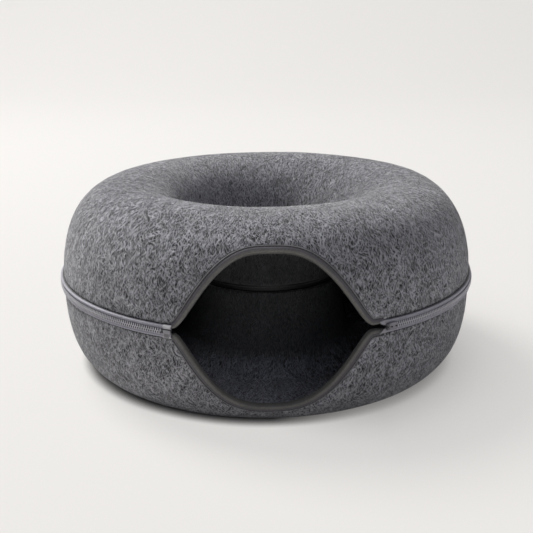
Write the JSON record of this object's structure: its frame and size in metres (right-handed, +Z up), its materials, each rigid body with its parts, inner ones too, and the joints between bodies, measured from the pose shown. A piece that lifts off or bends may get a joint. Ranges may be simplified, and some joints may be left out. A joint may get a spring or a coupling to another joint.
{
  "type": "felt pet cave",
  "caption": "Ring-shaped felt tunnel bed for a cat: two zipped half shells, a bound lens-shaped doorway and an open middle hole.",
  "frame": {"origin": "middle of the footprint, on the floor", "axes": "+Z up, the doorway faces -Y, +X to the right of somebody who looks in through the doorway"},
  "size_m": [0.5092, 0.4938, 0.2212],
  "materials": {
    "felt": "matte needled felt, heathered charcoal",
    "binding": "woven binding tape, brownish grey",
    "zip_tape": "woven tape with a satin sheen, purplish grey",
    "zip_teeth": "moulded, slightly glossy",
    "slider": "die-cast, painted to match the tape",
    "film": "glossy reinforcing film"
  },
  "bodies": {
    "lower_half": {"lower_shell": "felt", "lower_door_binding": "binding", "outer_zip_lower_tape": "zip_tape", "outer_zip_lower_teeth": "zip_teeth", "outer_zip_lower_end_stop": "zip_teeth", "outer_zip_lower_end_film": "film", "outer_zip_retainer_box": "zip_teeth", "inner_zip_lower_tape": "zip_tape", "inner_zip_lower_teeth": "zip_teeth", "inner_zip_lower_end_stop": "zip_teeth", "inner_zip_lower_end_film": "film", "inner_zip_retainer_box": "zip_teeth"},
    "upper_half": {"upper_shell": "felt", "upper_door_binding": "binding", "outer_zip_upper_tape": "zip_tape", "outer_zip_upper_teeth": "zip_teeth", "outer_zip_upper_end_stop": "zip_teeth", "outer_zip_upper_end_film": "film", "outer_zip_insertion_pin": "zip_teeth", "inner_zip_upper_tape": "zip_tape", "inner_zip_upper_teeth": "zip_teeth", "inner_zip_upper_end_stop": "zip_teeth", "inner_zip_upper_end_film": "film", "inner_zip_insertion_pin": "zip_teeth"},
    "outer_slider": {"outer_zip_slider": "slider", "outer_zip_slider_back_plate": "slider"},
    "inner_slider": {"inner_zip_slider": "slider", "inner_zip_slider_back_plate": "slider"}
  },
  "joints": [
    {"name": "lift_off", "type": "slide", "parent": "lower_half", "child": "upper_half", "axis": [0, 0, 1], "range_m": [0, 0.15]},
    {"name": "outer_slider_run", "type": "hinge", "parent": "lower_half", "child": "outer_slider", "pos_m": [0, -0.00769, 0.1075], "axis": [0, 0, 1], "range_deg": [0, 302]},
    {"name": "inner_slider_run", "type": "hinge", "parent": "lower_half", "child": "inner_slider", "pos_m": [0, -0.00769, 0.1075], "axis": [0, 0, 1], "range_deg": [0, 341]}
  ]
}
